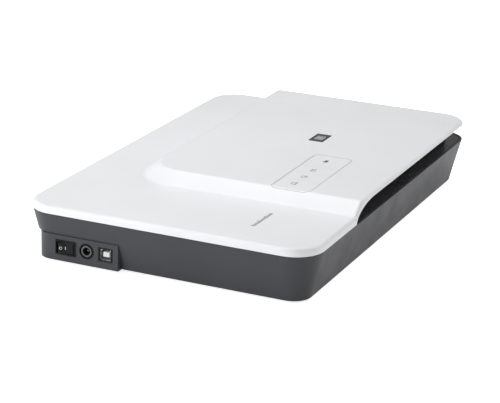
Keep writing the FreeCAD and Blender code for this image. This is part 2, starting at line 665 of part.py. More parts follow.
def make_usb_socket():
    face = BLOCK_FACE_X
    half_y, half_z = USB_HALF
    outer = box(face - 0.3, face + 2.5, USB_Y - half_y + 0.1, USB_Y + half_y - 0.1,
                USB_Z - half_z + 0.1, USB_Z + half_z - 0.1)
    window = box(face - 1, face + 3, USB_Y - 6.1, USB_Y + 6.1, USB_Z - 5.6, USB_Z + 5.6)
    bezel = outer.cut(window)
    mouth = face + 1.4
    x1 = face + 17
    shell = box(mouth, x1, USB_Y - 6.0, USB_Y + 6.0, USB_Z - 5.5, USB_Z + 5.5)
    bevel = [edge for edge in shell.Edges if edge.BoundBox.ZMin > USB_Z + 5 and edge.BoundBox.XLength > 5]
    shell = shell.makeChamfer(1.6, bevel)
    hollow = box(mouth - 1, x1 - 1, USB_Y - 5.4, USB_Y + 5.4, USB_Z - 4.9, USB_Z + 4.9)
    bevel = [edge for edge in hollow.Edges if edge.BoundBox.ZMin > USB_Z + 4 and edge.BoundBox.XLength > 5]
    tongue = box(mouth + 0.8, x1 - 0.5, USB_Y - 3.2, USB_Y + 3.2, USB_Z - 2.4, USB_Z + 2.4)
    save("usb_port_shell", shell.cut(hollow.makeChamfer(1.4, bevel)).fuse(tongue).removeSplitter())
    save("usb_port_plastic", bezel)


def make_main_board():
    x0, x1, y0, y1 = BOARD
    top = BOARD_Z0 + BOARD_T
    board = box(x0, x1, y0, y1, BOARD_Z0, top)
    holes = [post(x, y, BOARD_Z0 - 1, top + 1, 1.2) for x, y in BOARD_SCREWS]
    board = board.cut(Part.makeCompound(holes))
    save("main_board", board)
    chips = [box(-203, -189, 62, 76, top, top + 1.6), box(-203, -193, 79, 87, top, top + 1.4)]
    chips += [box(-186, -180, 76, 82, top, top + 1.2), box(-187, -183, 63, 67, top, top + 1.0)]
    cans = [post(x, y, top, top + 8, 3) for x, y in ((-187.5, 88), (-196, 55.5), (-188, 56))]
    connector = box(-180, -176, RIBBON_Y0 - 2, RIBBON_Y1 + 2, top, top + 4)
    connector = connector.cut(box(-178, -175, RIBBON_Y0 - 0.3, RIBBON_Y1 + 0.3, top + 0.6, top + 1.6))
    save("board_components", chips + cans + [connector])


def make_inner_screws():
    top = BOARD_Z0 + BOARD_T
    screws = [post(x, y, top, top + 1.4, 2.2).fuse(post(x, y, 6, top, 0.95)).removeSplitter()
              for x, y in BOARD_SCREWS]
    screws += [post(x, y, BRACKET_Z0 + 1.5, BRACKET_Z0 + 2.9, 2.3) for x, y in BRACKET_LEGS]
    save("inner_screws", screws)


def make_lamp_socket():
    x, z = LAMP_SOCKET_X, LAMP_SOCKET_Z
    y1 = HALF_Y - BASE_TAPER * (BASE_TOP - z) / (BASE_TOP - FOOT_H) - 1.2
    body = box(x - 7.8, x + 7.8, y1 - 10, y1, z - 3.8, z + 3.8)
    hollow = box(x - 6.6, x + 6.6, y1 - 8, y1 + 1, z - 2.6, z + 2.6)
    pins = [bar_y(x + dx, y1 - 8, y1 - 1.5, z, 0.5) for dx in (-4.5, -1.5, 1.5, 4.5)]
    save("film_lamp_socket", [body.cut(hollow)] + pins)


def make_ribbon():
    """Flat cable: from the board to the floor, along it, round a loose bend and back to the carriage."""
    t = RIBBON_T
    low = FLOOR_TOP + 0.2
    high = RIBBON_TOP_Z
    bend = (high - low - t) / 2
    start_z = BOARD_Z0 + BOARD_T + 1
    drop = polygon_prism([
        V(-175.5, RIBBON_Y0, start_z), V(-172, RIBBON_Y0, start_z), V(-164, RIBBON_Y0, low),
        V(-164, RIBBON_Y0, low + t), V(-172, RIBBON_Y0, start_z + t), V(-175.5, RIBBON_Y0, start_z + t),
    ], V(0, RIBBON_Y1 - RIBBON_Y0, 0))
    lower = box(-164, RIBBON_BEND_X, RIBBON_Y0, RIBBON_Y1, low, low + t)
    centre_z = (low + high) / 2
    loop = bar_y(RIBBON_BEND_X, RIBBON_Y0, RIBBON_Y1, centre_z, bend + t)
    loop = loop.cut(bar_y(RIBBON_BEND_X, RIBBON_Y0 - 1, RIBBON_Y1 + 1, centre_z, bend))
    loop = loop.cut(box(-300, RIBBON_BEND_X, -300, 300, 0, 50))
    upper = box(RIBBON_END_X, RIBBON_BEND_X, RIBBON_Y0, RIBBON_Y1, high - t, high)
    rise = box(RIBBON_END_X, RIBBON_END_X + t, RIBBON_Y0, RIBBON_Y1, high - t, CAR_Z0 - 0.4)
    save("carriage_ribbon", fuse([drop, lower, loop, upper, rise]))


# ---- carriage ----
def make_carriage_housing():
    housing = box(CAR_X0, CAR_X1, CAR_Y0, CAR_Y1, CAR_Z0, CAR_Z1 - 1.6)
    wall = CAR_WALL
    housing = housing.cut(box(
        CAR_X0 + wall, CAR_X1 - wall, CAR_Y0 + wall, CAR_Y1 - wall, CAR_Z0 + wall, CAR_Z1
    ))
    saddles = [box(x, x + 12, ROD_Y - 8, ROD_Y + 8, ROD_Z - 2, CAR_Z0) for x in BUSH_XS]
    feet = [box(-150, -118, y - 3, y + 3, RAIL_TOP + 1.3, CAR_Z0) for y in RAIL_YS]
    housing = housing.multiFuse(saddles + feet)
    bores = [bar_x(x - 1, x + 13, ROD_Y, ROD_Z, BUSH_R) for x in BUSH_XS]
    ribs = [box(CAR_X0 + CAR_WALL - 1, SLIT_X - 8, y, y + 1.6, CAR_Z0 + 1, CAR_Z0 + 9) for y in (-92, 56)]
    housing = housing.cut(Part.makeCompound(bores)).multiFuse(ribs)
    save("carriage_housing", housing.removeSplitter())
    bushes = [bar_x(x, x + 12, ROD_Y, ROD_Z, BUSH_R).cut(bar_x(x - 1, x + 13, ROD_Y, ROD_Z, ROD_R + FIT))
              for x in BUSH_XS]
    sliders = [box(-150, -118, y - 2.2, y + 2.2, RAIL_TOP + 0.3, RAIL_TOP + 1.3) for y in RAIL_YS]
    save("carriage_bearings", bushes + sliders)
    clip = box(-158, -146, CLIP_Y - 3, CLIP_Y + 3, BELT_Z0 - 0.8, CAR_Z0)
    slot = box(-160, -144, CLIP_Y - 0.9, CLIP_Y + 0.9, BELT_Z0 - 2, BELT_Z1 + 0.4)
    save("belt_clip", clip.cut(slot))


def make_carriage_cover_and_mirrors():
    cover = box(CAR_X0, CAR_X1, CAR_Y0, CAR_Y1, CAR_Z1 - 1.6, CAR_Z1)
    save("carriage_cover", cover.cut(box(*LAMP_WINDOW, CAR_Z1 - 3, CAR_Z1 + 1)))
    mirrors = []
    for x, z, tilt, half in MIRRORS:
        mirror = box(x - 4, x + 4, OPTIC_Y - half, OPTIC_Y + half, z - 0.8, z + 0.8)
        mirror.rotate(V(x, 0, z), V(0, 1, 0), tilt)
        mirrors.append(mirror)
    save("scan_mirrors", mirrors)


def make_scan_lamp():
    lamp_x = -128.0
    lamp_z = 40.6
    y0, y1 = LAMP_WINDOW[2] + 4, LAMP_WINDOW[3] - 4
    save("scan_lamp", bar_y(lamp_x, y0 - 3, y1 + 3, lamp_z, 1.5))
    holders = [box(lamp_x - 3.5, lamp_x + 3.5, y, y + 4, lamp_z - 4, CAR_Z1 - 1.7).cut(
        bar_y(lamp_x, y - 1, y + 5, lamp_z, 1.5)) for y in (y0 - 4, y1)]
    save("lamp_holders", holders)
    gutter = bar_y(lamp_x, y0 + 1, y1 - 1, lamp_z, 4.2).cut(bar_y(lamp_x, y0, y1, lamp_z, 3.8))
    save("lamp_reflector", gutter.cut(box(lamp_x - 6, lamp_x + 6, y0, y1, lamp_z + 0.5, 60)))
def make_lens():
    lens_z = 28.0
    barrel = bar_x(-152, -134, OPTIC_Y, lens_z, 7).fuse(bar_x(-137, -132, OPTIC_Y, lens_z, 8.2))
    save("lens_barrel", barrel.cut(bar_x(-134.5, -131, OPTIC_Y, lens_z, 5.5)).removeSplitter())
    cradle = box(-150, -142, OPTIC_Y - 10, OPTIC_Y + 10, CAR_Z0 + CAR_WALL, lens_z)
    strap = bar_x(-149, -143, OPTIC_Y, lens_z, 7.8).cut(box(-200, -100, -100, 100, 0, lens_z))
    cradle = cradle.fuse(strap).cut(bar_x(-160, -130, OPTIC_Y, lens_z, 7.0))
    save("lens_clamp", cradle.removeSplitter())


def make_carriage_boards():
    board = box(-163.4, -161.8, -66, 30, 19, 39)
    package = box(-161.8, -158.8, -50, 14, 24, 32)
    save("sensor_board", [board, package, box(-158.8, -158.3, -46, 10, 26.5, 29.5)])
    board = box(-158, -136, 62, 92, CAR_Z0 + CAR_WALL, CAR_Z0 + CAR_WALL + 1.6)
    transformer = box(-154, -142, 68, 86, CAR_Z0 + CAR_WALL + 1.6, 29)
    save("lamp_inverter_board", [board, transformer])


# ---- guide and drive ----
def make_guide():
    save("guide_rod", bar_x(ROD_X0, ROD_X1, ROD_Y, ROD_Z, ROD_R))
    clips = []
    for x in (ROD_X0 + 1, ROD_X1 - 5):
        clip = box(x, x + 4, ROD_Y - 7, ROD_Y + 7, FLOOR_TOP, ROD_Z + 5)
        clips.append(clip.cut(bar_x(x - 1, x + 5, ROD_Y, ROD_Z, ROD_R)))
    save("guide_rod_clips", clips)
    save("slider_rails", [box(-168, 206, y - 2, y + 2, FLOOR_TOP, RAIL_TOP) for y in RAIL_YS])


def toothed_wheel(x, y, z0, z1, teeth, bore, phase):
    """Spur gear with straight flanks and plenty of backlash, at module MODULE."""
    pitch_r = MODULE * teeth / 2
    step = 2 * math.pi / teeth
    points = []
    for tooth in range(teeth):
        middle = phase + tooth * step
        for radius, offset in (
            (pitch_r - 1.1 * MODULE, -0.26), (pitch_r + 0.8 * MODULE, -0.10),
            (pitch_r + 0.8 * MODULE, 0.10), (pitch_r - 1.1 * MODULE, 0.26),
        ):
            angle = middle + offset * step
            points.append(V(x + radius * math.cos(angle), y + radius * math.sin(angle), z0))
    return polygon_prism(points, V(0, 0, z1 - z0)).cut(post(x, y, z0 - 1, z1 + 1, bore))


def make_drive():
    hub = post(GEAR_X, GEAR_Y, BELT_Z0 - 0.5, BELT_Z1 + 0.6, PULLEY_R - BELT_T / 2 - 0.3)
    flange = post(GEAR_X, GEAR_Y, BELT_Z1 + 0.4, BELT_Z1 + 1.2, PULLEY_R + 1.3)
    hub = hub.fuse(flange).cut(post(GEAR_X, GEAR_Y, 0, 30, SHAFT_R + FIT))
    turned = math.pi / GEAR_TEETH
    wheel = toothed_wheel(GEAR_X, GEAR_Y, BELT_Z1 + 1.2, WHEEL_TOP, GEAR_TEETH, SHAFT_R + FIT, turned)
    lightening = [post(GEAR_X + 9 * math.cos(a), GEAR_Y + 9 * math.sin(a), BELT_Z1, WHEEL_TOP + 1, 2.4)
                  for a in [math.pi / 3 * k for k in range(6)]]
    wheel = wheel.cut(Part.makeCompound(lightening))
    save("drive_gear", hub.fuse(wheel).removeSplitter())
    axle = post(GEAR_X, GEAR_Y, BELT_Z0 - 1, BRACKET_Z0, SHAFT_R)
    pinion = toothed_wheel(GEAR_X, MOTOR_Y, BELT_Z1 + 1.0, WHEEL_TOP + 0.2, PINION_TEETH, 1.0, math.pi / 2)
    save("motor_pinion", pinion)
    bracket = box(-207, -169, -30, 15, BRACKET_Z0, BRACKET_Z0 + 1.5)
    legs = [post(x, y, FLOOR_TOP, BRACKET_Z0, 2.5) for x, y in BRACKET_LEGS]
    bracket = bracket.multiFuse(legs).cut(post(GEAR_X, MOTOR_Y, 0, 40, 2.8))
    save("motor_bracket", [bracket.removeSplitter(), axle])
    can_z0 = BRACKET_Z0 + 1.5
    can = tube(GEAR_X, MOTOR_Y, can_z0, MOTOR_Z1, 17, 15.6)
    ends = [tube(GEAR_X, MOTOR_Y, z, z + 1, 17, 1.0 + FIT) for z in (can_z0, MOTOR_Z1 - 1)]
    winding = tube(GEAR_X, MOTOR_Y, can_z0 + 3, MOTOR_Z1 - 3, 15.6, 10)
    save("motor_can", [fuse([can] + ends), winding])
    magnet = tube(GEAR_X, MOTOR_Y, can_z0 + 2.5, MOTOR_Z1 - 2.5, 9.5, 1.0)
    shaft = post(GEAR_X, MOTOR_Y, BELT_Z1 + 0.8, MOTOR_Z1 + 1.5, 1.0)
    save("motor_rotor", [magnet, shaft])


def make_belt_run():
    y = GEAR_Y
    outer = PULLEY_R + BELT_T / 2
    inner = PULLEY_R - BELT_T / 2
    loops = []
    for radius in (outer, inner):
        ends = post(GEAR_X, y, BELT_Z0, BELT_Z1, radius).fuse(post(IDLER_X, y, BELT_Z0, BELT_Z1, radius))
        runs = box(GEAR_X, IDLER_X, y - radius, y + radius, BELT_Z0, BELT_Z1)
        loops.append(ends.fuse(runs).removeSplitter())
    save("drive_belt", loops[0].cut(loops[1]))
    pulley = post(IDLER_X, y, BELT_Z0 - 0.5, BELT_Z1 + 0.5, inner - 0.3)
    rims = [post(IDLER_X, y, z, z + 0.6, PULLEY_R + 1.2) for z in (BELT_Z0 - 1.0, BELT_Z1 + 0.4)]
    pulley = fuse([pulley] + rims).cut(post(IDLER_X, y, 0, 30, SHAFT_R + FIT))
    save("idler_pulley", pulley)
    plate = box(IDLER_X - 12, IDLER_X + 6, y - 8, y + 8, FLOOR_TOP, FLOOR_TOP + 1.2)
    save("tensioner_bracket", plate.fuse(post(IDLER_X, y, FLOOR_TOP, BELT_Z1 + 1.4, SHAFT_R)).fuse(
        post(SPRING_X + 11, SPRING_Y, FLOOR_TOP, 11, 1.2)).fuse(
        box(IDLER_X - 12, IDLER_X - 6, y + 7, y + 14, FLOOR_TOP, FLOOR_TOP + 1.2)).removeSplitter())
    coil = Part.makeHelix(0.9, 9.0, 1.6)
    start = Part.Wire([Part.makeCircle(0.3, V(1.6, 0, 0), V(0, 1, 0))])
    spring = Part.Wire(coil).makePipeShell([start], True, True)
    spring.rotate(V(0, 0, 0), V(0, 1, 0), 90)
    spring.translate(V(SPRING_X, SPRING_Y, 8.6))
    save("tension_spring", spring)


# ---- hinges ----
def knuckle(x0, x1):
    return bar_x(x0, x1, AXIS_Y, AXIS_Z, KNUCKLE_R)


def make_hinges():
    pins = []
    legs = []
    leaves = []
    for x in (-HINGE_X, HINGE_X):
        column = box(x - POST_HALF, x + POST_HALF, POST_Y[0], POST_Y[1], POST_Z0, ARM_TOP)
        arm = box(x - 6, x + 6, POST_Y[0], AXIS_Y, AXIS_Z - KNUCKLE_R, ARM_TOP)
        bolt_hole = bar_x(x - 7, x + 7, AXIS_Y, AXIS_Z, PIN_R)
        leg = fuse([column, arm, knuckle(x - 6, x + 6)]).cut(bolt_hole)
        window = box(x - 4, x + 4, POST_Y[0] - 1, POST_Y[1] + 1, 20, 40)
        legs.append(leg.cut(window).removeSplitter())
        pins.append(bar_x(x - 12, x + 12, AXIS_Y, AXIS_Z, PIN_R))
        plate = box(x - 12, x + 12, LEAF_Y0, AXIS_Y - 3.2, LEAF_Z0, LOW_TOP - LID_WALL)
        ears = []
        for ear_x0, ear_x1 in ((x - 12, x - 6.3), (x + 6.3, x + 12)):
            ears.append(knuckle(ear_x0, ear_x1))
            ears.append(box(ear_x0, ear_x1, AXIS_Y - 5, AXIS_Y, AXIS_Z + 0.4, AXIS_Z + KNUCKLE_R))
        leaf = fuse([plate] + ears).cut(bar_x(x - 13, x + 13, AXIS_Y, AXIS_Z, PIN_R + FIT))
        leaves.append(leaf.removeSplitter())
    save("hinge_posts", legs)
    save("hinge_leaves", leaves)
    save("hinge_pins", pins)


def make_lid_gland():
    gland = bar_y(GLAND_X, HALF_Y - LID_WALL - 1.5, HALF_Y - 0.3, GLAND_Z, GLAND_R)
    save("lid_cable_gland", gland.cut(bar_y(GLAND_X, 0, HALF_Y, GLAND_Z, 1.1)))


# ---- document mat and buttons ----
def make_document_mat():
    x0, x1, y0, y1 = MAT
    save("mat_backing", box(x0, x1, y0, y1, FOAM_TOP, MAT_TOP))
    save("mat_foam", rounded_prism(x0 + 2.5, x1 - 2.5, y0 + 0.5, y1 - 0.5, MAT_Z0, FOAM_TOP, 1.5))


def make_buttons():
    x0, x1, y0, y1 = PANEL
    gap = KEY_GAP
    outline = rounded_prism(x0 + gap, x1 - gap, y0 + gap, y1 - gap, LIP_Z - 0.3, KEY_TOP, PANEL_R - gap)
    switches = []
    switch_top = KEY_BOARD_TOP + 2.5
    for name, left, right in zip(KEY_NAMES, KEY_EDGES[:-1], KEY_EDGES[1:]):
        first = left + (0 if left == x0 else gap / 2)
        last = right - (0 if right == x1 else gap / 2)
        cap = outline.common(box(first, last, y0, y1, LIP_Z - 1, HEIGHT + 1))
        middle_x = (left + right) / 2
        middle_y = (y0 + y1) / 2
        edge0 = first + (7 if left == x0 else 0.2)
        edge1 = last - (7 if right == x1 else 0.2)
        lips = box(edge0, edge1, y0 - 1.2, y1 + 1.2, LIP_Z - 1.5, LIP_Z - 0.3)
        stem = post(middle_x, middle_y, KEY_BOARD_TOP + 4.4, LIP_Z - 1, 2)
        save(name, fuse([cap, lips, stem]))
        switches.append(box(
            middle_x - 3, middle_x + 3, middle_y - 3, middle_y + 3, KEY_BOARD_TOP, switch_top
        ))
        switches.append(post(middle_x, middle_y, switch_top, switch_top + 0.7, 1.5))
    board = box(x0 + 1, x1 - 1, y0 - 5.5, y1 + 5.5, KEY_BOARD_Z0, KEY_BOARD_TOP)
    board = board.cut(Part.makeCompound([post(x, y, 50, 70, 1.1) for x, y in KEY_BOARD_SCREWS]))
    save("button_board", [board] + switches)


os.makedirs("parts", exist_ok=True)
make_base_shell()
make_top_cover()
make_platen()
make_feet_and_case_screws()
make_power_switch()
make_power_socket()
make_usb_socket()
make_main_board()
make_inner_screws()
make_lamp_socket()
make_ribbon()
make_carriage_housing()
make_carriage_cover_and_mirrors()
make_scan_lamp()
make_lens()
make_carriage_boards()
make_guide()
make_drive()
make_belt_run()
make_hinges()
make_lid_cover()
make_lid_pan()
make_film_light()
make_lid_gland()
make_document_mat()
make_buttons()
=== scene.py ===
"""Looks of a flatbed scanner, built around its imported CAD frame. Metres, +Z up, -Y towards the user."""
import json
import math

import bmesh
import bpy
from mathutils import Matrix, Quaternion, Vector


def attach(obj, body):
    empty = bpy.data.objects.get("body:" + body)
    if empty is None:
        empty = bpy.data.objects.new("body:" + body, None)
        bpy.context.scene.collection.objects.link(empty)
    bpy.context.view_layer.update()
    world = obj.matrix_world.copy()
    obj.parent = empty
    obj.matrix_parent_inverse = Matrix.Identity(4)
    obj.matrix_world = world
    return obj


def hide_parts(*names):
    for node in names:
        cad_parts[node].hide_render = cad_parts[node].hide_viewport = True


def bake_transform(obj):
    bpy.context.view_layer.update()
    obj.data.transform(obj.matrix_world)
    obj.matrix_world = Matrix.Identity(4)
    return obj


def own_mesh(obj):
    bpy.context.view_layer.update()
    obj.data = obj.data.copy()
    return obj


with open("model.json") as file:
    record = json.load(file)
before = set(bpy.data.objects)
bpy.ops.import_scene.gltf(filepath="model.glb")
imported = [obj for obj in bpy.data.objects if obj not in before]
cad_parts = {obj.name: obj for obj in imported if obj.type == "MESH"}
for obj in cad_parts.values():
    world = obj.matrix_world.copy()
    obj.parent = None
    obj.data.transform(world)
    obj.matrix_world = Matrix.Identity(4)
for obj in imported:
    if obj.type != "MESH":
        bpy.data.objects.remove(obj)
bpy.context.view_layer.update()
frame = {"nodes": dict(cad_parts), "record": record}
NODES = frame["nodes"]
SLOT_OF = {part["node"]: part["material_slot"] for part in frame["record"]["subparts"]}


# ---------------------------------------------------------------- node helpers
class Tree:
    """A principled material with short calls for the nodes that feed it."""

    def __init__(self, name):
        self.material = bpy.data.materials.new(name)
        self.material.use_nodes = True
        self.nodes = self.material.node_tree.nodes
        self.links = self.material.node_tree.links
        self.shader = self.nodes["Principled BSDF"]
        self.place = self.nodes.new("ShaderNodeTexCoord").outputs["Object"]

    def set(self, **values):
        for key, value in values.items():
            self.shader.inputs[key.replace("_", " ")].default_value = value

    def noise(self, scale, detail, stretch=None):
        place = self.place
        if stretch:
            mapping = self.nodes.new("ShaderNodeMapping")
            mapping.inputs["Scale"].default_value = stretch
            self.links.new(place, mapping.inputs["Vector"])
            place = mapping.outputs["Vector"]
        node = self.nodes.new("ShaderNodeTexNoise")
        node.inputs["Scale"].default_value = scale
        node.inputs["Detail"].default_value = detail
        self.links.new(place, node.inputs["Vector"])
        return node.outputs["Fac"]

    def ramp(self, source, low, high, start=0.35, end=0.65):
        """Maps a 0..1 value onto two colours or two grey levels."""
        node = self.nodes.new("ShaderNodeValToRGB")
        for stop, value, place in zip(node.color_ramp.elements, (low, high), (start, end)):
            stop.position = place
            stop.color = (*value, 1.0) if isinstance(value, tuple) else (value, value, value, 1.0)
        self.links.new(source, node.inputs["Fac"])
        return node.outputs["Color"]

    def calc(self, operation, first, second=0.0):
        """One arithmetic step on sockets or numbers."""
        node = self.nodes.new("ShaderNodeMath")
        node.operation = operation
        for socket, value in zip(node.inputs, (first, second)):
            if isinstance(value, float):
                socket.default_value = value
            else:
                self.links.new(value, socket)
        return node.outputs["Value"]

    def axes(self):
        """The object position, one socket for each axis."""
        parts = self.nodes.new("ShaderNodeSeparateXYZ")
        self.links.new(self.place, parts.inputs["Vector"])
        return parts.outputs

    def wire(self, source, name):
        self.links.new(source, self.shader.inputs[name])

    def bump(self, source, strength, distance):
        node = self.nodes.new("ShaderNodeBump")
        node.inputs["Strength"].default_value = strength
        node.inputs["Distance"].default_value = distance
        self.links.new(source, node.inputs["Height"])
        self.wire(node.outputs["Normal"], "Normal")


def shade(colour, factor):
    return tuple(min(1.0, channel * factor) for channel in colour)


# ---------------------------------------------------------------- kinds of material
def moulded(name, colour, rough, grain=2600.0, depth=0.00003, mottle=0.05, **extra):
    """Moulded plastic: faint mottling of colour and gloss, and a fine spark-eroded grain."""
    tree = Tree(name)
    tree.set(**extra)
    clouds = tree.noise(scale=9.0, detail=3.0)
    tree.wire(tree.ramp(clouds, shade(colour, 1 - mottle), shade(colour, 1 + mottle)), "Base Color")
    tree.wire(tree.ramp(tree.noise(scale=45.0, detail=4.0), rough * 0.88, rough * 1.12), "Roughness")
    tree.bump(tree.noise(scale=grain, detail=1.0), strength=0.35, distance=depth)
    return tree.material


def metal(name, colour, rough, brushed=(1.0, 40.0, 40.0)):
    """Metal with fine directional scratches."""
    tree = Tree(name)
    tree.set(Metallic=1.0)
    scratches = tree.noise(scale=300.0, detail=3.0, stretch=brushed)
    tree.wire(tree.ramp(scratches, shade(colour, 0.9), shade(colour, 1.06)), "Base Color")
    tree.wire(tree.ramp(scratches, rough * 0.75, rough * 1.3), "Roughness")
    tree.bump(scratches, strength=0.15, distance=0.00002)
    return tree.material


def clear_glass(name):
    tree = Tree(name)
    tree.set(Base_Color=(0.86, 0.95, 0.92, 1.0), Transmission_Weight=1.0, IOR=1.52)
    tree.wire(tree.ramp(tree.noise(scale=30.0, detail=3.0), 0.0, 0.03), "Roughness")
    return tree.material


def foam_sheet(name, colour):
    """White-faced foam: soft mottling and a shallow cell texture."""
    tree = Tree(name)
    tree.set(Specular_IOR_Level=0.25, Sheen_Weight=0.15)
    clouds = tree.noise(scale=14.0, detail=4.0)
    tree.wire(tree.ramp(clouds, shade(colour, 0.95), shade(colour, 1.02)), "Base Color")
    tree.wire(tree.ramp(tree.noise(scale=500.0, detail=2.0), 0.75, 0.95), "Roughness")
    tree.bump(tree.noise(scale=900.0, detail=3.0), strength=0.5, distance=0.00015)
    return tree.material


def circuit_board(name):
    """Green solder mask with paler copper lines under it."""
    tree = Tree(name)
    bricks = tree.nodes.new("ShaderNodeTexBrick")
    bricks.inputs["Scale"].default_value = 160.0
    bricks.inputs["Mortar Size"].default_value = 0.06
    bricks.inputs["Color1"].default_value = (0.012, 0.11, 0.045, 1.0)
    bricks.inputs["Color2"].default_value = (0.016, 0.14, 0.055, 1.0)
    bricks.inputs["Mortar"].default_value = (0.05, 0.26, 0.12, 1.0)
    tree.links.new(tree.place, bricks.inputs["Vector"])
    tree.wire(bricks.outputs["Color"], "Base Color")
    tree.wire(tree.ramp(tree.noise(scale=80.0, detail=3.0), 0.28, 0.42), "Roughness")
    tree.bump(bricks.outputs["Fac"], strength=0.4, distance=0.00004)
    return tree.material


def ribbon_film(name):
    """White film with grey conductors that run along X."""
    tree = Tree(name)
    wave = tree.nodes.new("ShaderNodeTexWave")
    wave.bands_direction = "Y"
    wave.inputs["Scale"].default_value = 160.0
    wave.inputs["Distortion"].default_value = 0.0
    tree.links.new(tree.place, wave.inputs["Vector"])
    lines = tree.ramp(wave.outputs["Fac"], (0.78, 0.79, 0.77), (0.42, 0.43, 0.44), start=0.55, end=0.7)
    tree.wire(lines, "Base Color")
    tree.wire(tree.ramp(tree.noise(scale=60.0, detail=2.0), 0.3, 0.45), "Roughness")
    tree.bump(wave.outputs["Fac"], strength=0.3, distance=0.00005)
    return tree.material


def silver_mirror(name):
    tree = Tree(name)
    tree.set(Metallic=1.0)
    clouds = tree.noise(scale=20.0, detail=3.0)
    tree.wire(tree.ramp(clouds, (0.86, 0.87, 0.88), (0.93, 0.94, 0.95)), "Base Color")
    tree.wire(tree.ramp(tree.noise(scale=90.0, detail=3.0), 0.02, 0.06), "Roughness")
    return tree.material


USB_TONGUE = {"Y": (0.0619, 0.0034), "Z": (0.0167, 0.0026)}     # middle and half width on each axis


def usb_metal(name):
    """Nickel shell around a white plastic tongue."""
    tree = Tree(name)
    place = tree.axes()
    shares = []
    for axis, (middle, half) in USB_TONGUE.items():
        from_middle = tree.calc("ABSOLUTE", tree.calc("SUBTRACT", place[axis], middle))
        shares.append(tree.calc("DIVIDE", from_middle, half))
    outside = tree.ramp(tree.calc("MAXIMUM", *shares), 0.0, 1.0, start=0.99, end=1.0)
    scratches = tree.noise(scale=300.0, detail=3.0)
    tree.wire(tree.ramp(scratches, (0.72, 0.72, 0.73), (0.84, 0.84, 0.84)), "Base Color")
    tree.wire(outside, "Metallic")
    tree.wire(tree.ramp(tree.noise(scale=200.0, detail=2.0), 0.25, 0.35), "Roughness")
    tree.bump(tree.noise(scale=600.0, detail=2.0), strength=0.2, distance=0.00002)
    return tree.material


PANEL = {"X": (-0.1040, 0.0147), "Y": (-0.0961, -0.0544)}       # the line round the keys, end to end
PANEL_CORNER = 0.0066
PANEL_LINE = 0.0006


def panel_line_mask(tree):
    """1 on the rounded rectangle round the keys, seen from above, and 0 elsewhere."""
    place = tree.axes()
    past_corner = []
    for axis, (low_end, high_end) in PANEL.items():
        middle = (low_end + high_end) / 2
        straight = (high_end - low_end) / 2 - PANEL_CORNER
        from_middle = tree.calc("ABSOLUTE", tree.calc("SUBTRACT", place[axis], middle))
        past = tree.calc("MAXIMUM", tree.calc("SUBTRACT", from_middle, straight))
        past_corner.append(tree.calc("MULTIPLY", past, past))
    reach = tree.calc("SQRT", tree.calc("ADD", *past_corner))
    off_line = tree.calc("ABSOLUTE", tree.calc("SUBTRACT", reach, PANEL_CORNER))
    return tree.calc("LESS_THAN", off_line, PANEL_LINE / 2)


def lid_plastic(name, colour, line_colour):
    """Silver-white lid plastic with a fine line printed round the four keys and over the crest."""
    tree = Tree(name)
    tree.set(Coat_Weight=0.15, Coat_Roughness=0.2)
    mix = tree.nodes.new("ShaderNodeMix")
    mix.data_type = "RGBA"
    factor, plain, line, mixed = mix.inputs[0], mix.inputs[6], mix.inputs[7], mix.outputs[2]
    clouds = tree.noise(scale=9.0, detail=3.0)
    ink_clouds = tree.noise(scale=60.0, detail=2.0)
    tree.links.new(panel_line_mask(tree), factor)
    tree.links.new(tree.ramp(clouds, shade(colour, 0.985), shade(colour, 1.015)), plain)
    tree.links.new(tree.ramp(ink_clouds, line_colour, shade(line_colour, 1.1)), line)
    tree.wire(mixed, "Base Color")
    tree.wire(tree.ramp(tree.noise(scale=45.0, detail=4.0), 0.32, 0.40), "Roughness")
    tree.bump(tree.noise(scale=3000.0, detail=1.0), strength=0.35, distance=0.00002)
    return tree.material


# ---------------------------------------------------------------- the materials, one for each slot
LID_WHITE = (0.795, 0.80, 0.82)
CASING_GREY = (0.053, 0.054, 0.060)
BLACK = (0.012, 0.012, 0.013)

